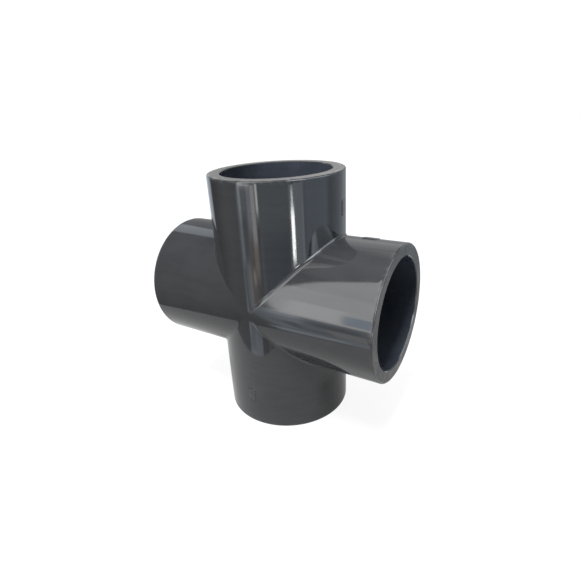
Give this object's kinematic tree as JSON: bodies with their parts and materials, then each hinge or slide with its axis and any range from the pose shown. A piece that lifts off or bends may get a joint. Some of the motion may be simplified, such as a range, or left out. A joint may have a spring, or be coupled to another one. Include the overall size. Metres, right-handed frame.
{
  "type": "equal cross pipe fitting",
  "caption": "Equal 90 degree cross of grey PVC-U with plain solvent-cement sockets, which joins pressure pipes of 50 mm outside diameter in one plane.",
  "frame": {"origin": "the crossing of the two pipe axes, which is the centre of the fitting", "axes": "+Z along the upright arms towards the upper socket's mouth, +X along the level arms towards the right socket's mouth, +Y towards the rear flank, which has the gate mark"},
  "size_m": [0.118, 0.0623, 0.118],
  "materials": {
    "pvc_grey": "gloss"
  },
  "bodies": {
    "root": {"centre_body": "pvc_grey", "socket_top": "pvc_grey", "socket_bottom": "pvc_grey", "socket_left": "pvc_grey", "socket_right": "pvc_grey"}
  },
  "joints": []
}
